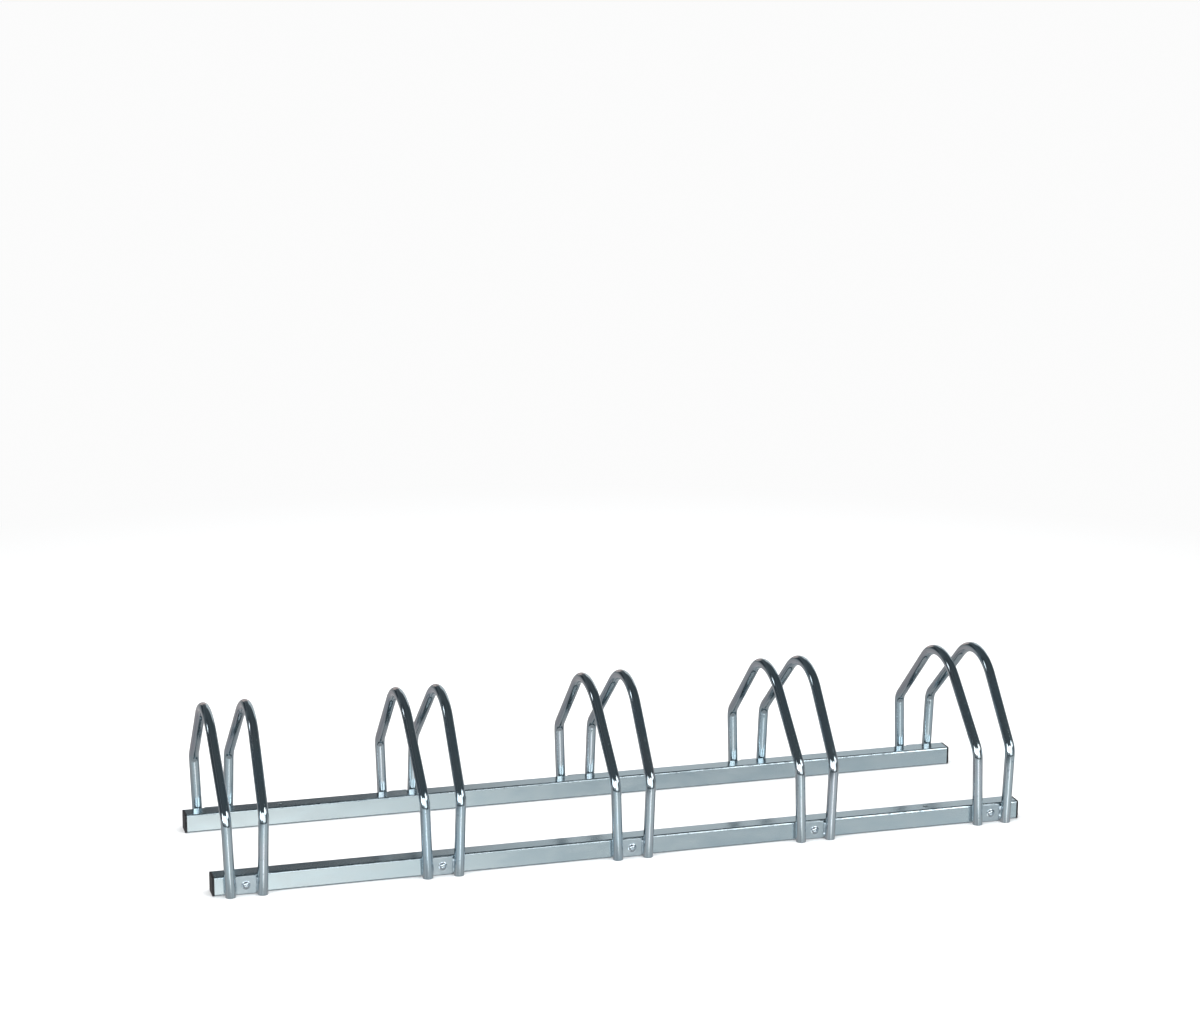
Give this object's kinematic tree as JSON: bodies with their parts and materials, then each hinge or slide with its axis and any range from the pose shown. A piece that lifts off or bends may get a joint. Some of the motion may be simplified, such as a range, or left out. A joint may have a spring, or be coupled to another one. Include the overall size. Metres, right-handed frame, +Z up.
{
  "type": "floor bike rack",
  "caption": "Low floor rack for bicycles: pairs of bent tube hoops that lean apart, screwed to two square tube rails with capped ends.",
  "frame": {"origin": "centre of the footprint, on the ground", "axes": "+X along the rails, to the right seen from the front; +Y to the rear; +Z up"},
  "size_m": [1.3, 0.3462, 0.252],
  "materials": {
    "zinc_rail": "bright zinc plate on drawn square tube, slightly mottled",
    "zinc_tube": "bright zinc plate on round tube, glossy",
    "zinc_plate": "bright zinc plate on sheet steel, satin",
    "zinc_screw": "bright zinc plate",
    "zinc_insert": "zinc plate",
    "zinc_weld": "plated over the bead, uneven",
    "black_plastic": "moulded, low sheen"
  },
  "bodies": {
    "root": {"front_rail": "zinc_rail", "rear_rail": "zinc_rail", "front_rail_cap_left": "black_plastic", "front_rail_cap_right": "black_plastic", "rear_rail_cap_left": "black_plastic", "rear_rail_cap_right": "black_plastic", "hoop_1_left": "zinc_tube", "hoop_1_right": "zinc_tube", "hoop_2_left": "zinc_tube", "hoop_2_right": "zinc_tube", "hoop_3_left": "zinc_tube", "hoop_3_right": "zinc_tube", "hoop_4_left": "zinc_tube", "hoop_4_right": "zinc_tube", "hoop_5_left": "zinc_tube", "hoop_5_right": "zinc_tube", "front_plate_1": "zinc_plate", "front_plate_2": "zinc_plate", "front_plate_3": "zinc_plate", "front_plate_4": "zinc_plate", "front_plate_5": "zinc_plate", "rear_plate_1": "zinc_plate", "rear_plate_2": "zinc_plate", "rear_plate_3": "zinc_plate", "rear_plate_4": "zinc_plate", "rear_plate_5": "zinc_plate", "front_screws": "zinc_screw", "rear_screws": "zinc_screw", "front_inserts": "zinc_insert", "rear_inserts": "zinc_insert", "front_welds": "zinc_weld", "rear_welds": "zinc_weld"}
  },
  "joints": []
}
